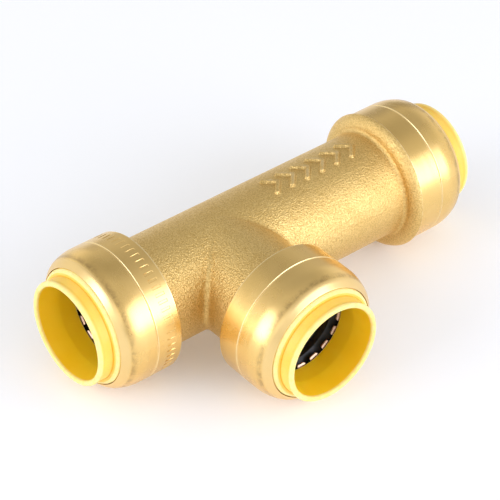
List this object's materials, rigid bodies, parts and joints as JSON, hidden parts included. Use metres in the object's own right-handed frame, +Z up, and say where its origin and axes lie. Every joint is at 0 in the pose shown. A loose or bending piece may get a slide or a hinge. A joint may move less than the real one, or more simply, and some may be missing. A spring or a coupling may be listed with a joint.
{
  "type": "push-to-connect slip tee fitting",
  "caption": "Brass push-to-connect plumbing tee with one long slip end; a cap, O-ring, grip ring and pressable release collar at each end hold a plain tube.",
  "frame": {"origin": "where the centrelines of the run and the branch cross", "axes": "+X out of the long slip end, -X out of the fixed run end, -Y out of the branch, +Z up, square to all three"},
  "size_m": [0.1169, 0.0615, 0.036],
  "materials": {
    "cast_brass": "sand cast and blasted, fine matt grain",
    "turned_brass": "turned, satin",
    "collar_plastic": "moulded acetal, soft gloss",
    "spring_steel": "stamped, bright",
    "black_plastic": "moulded, matt",
    "black_rubber": "moulded EPDM"
  },
  "bodies": {
    "housing": {"tee_body": "cast_brass", "run_end_cap": "turned_brass", "run_grip_ring_spacer": "black_plastic", "run_o_ring_protector": "black_plastic", "run_o_ring": "black_rubber", "branch_end_cap": "turned_brass", "branch_grip_ring_spacer": "black_plastic", "branch_o_ring_protector": "black_plastic", "branch_o_ring": "black_rubber", "slip_end_cap": "turned_brass", "slip_grip_ring_spacer": "black_plastic", "slip_o_ring_protector": "black_plastic", "slip_o_ring": "black_rubber"},
    "run_grip": {"run_grip_ring": "spring_steel"},
    "run_collar": {"run_release_collar": "collar_plastic"},
    "branch_grip": {"branch_grip_ring": "spring_steel"},
    "branch_collar": {"branch_release_collar": "collar_plastic"},
    "slip_grip": {"slip_grip_ring": "spring_steel"},
    "slip_collar": {"slip_release_collar": "collar_plastic"}
  },
  "joints": [
    {"name": "run_swivel", "type": "hinge", "parent": "housing", "child": "run_grip", "pos_m": [-0.03435, 0, 0], "axis": [-1, 0, 0], "continuous": true},
    {"name": "run_release", "type": "slide", "parent": "run_grip", "child": "run_collar", "axis": [1, 0, 0], "range_m": [0, 0.0018], "stiffness_N_per_m": 5000, "deforming": ["run_grip_ring"]},
    {"name": "branch_swivel", "type": "hinge", "parent": "housing", "child": "branch_grip", "pos_m": [0, -0.03335, 0], "axis": [0, -1, 0], "continuous": true},
    {"name": "branch_release", "type": "slide", "parent": "branch_grip", "child": "branch_collar", "axis": [0, 1, 0], "range_m": [0, 0.0018], "stiffness_N_per_m": 5000, "deforming": ["branch_grip_ring"]},
    {"name": "slip_swivel", "type": "hinge", "parent": "housing", "child": "slip_grip", "pos_m": [0.06245, 0, 0], "axis": [1, 0, 0], "continuous": true},
    {"name": "slip_release", "type": "slide", "parent": "slip_grip", "child": "slip_collar", "axis": [-1, 0, 0], "range_m": [0, 0.0018], "stiffness_N_per_m": 5000, "deforming": ["slip_grip_ring"]}
  ]
}
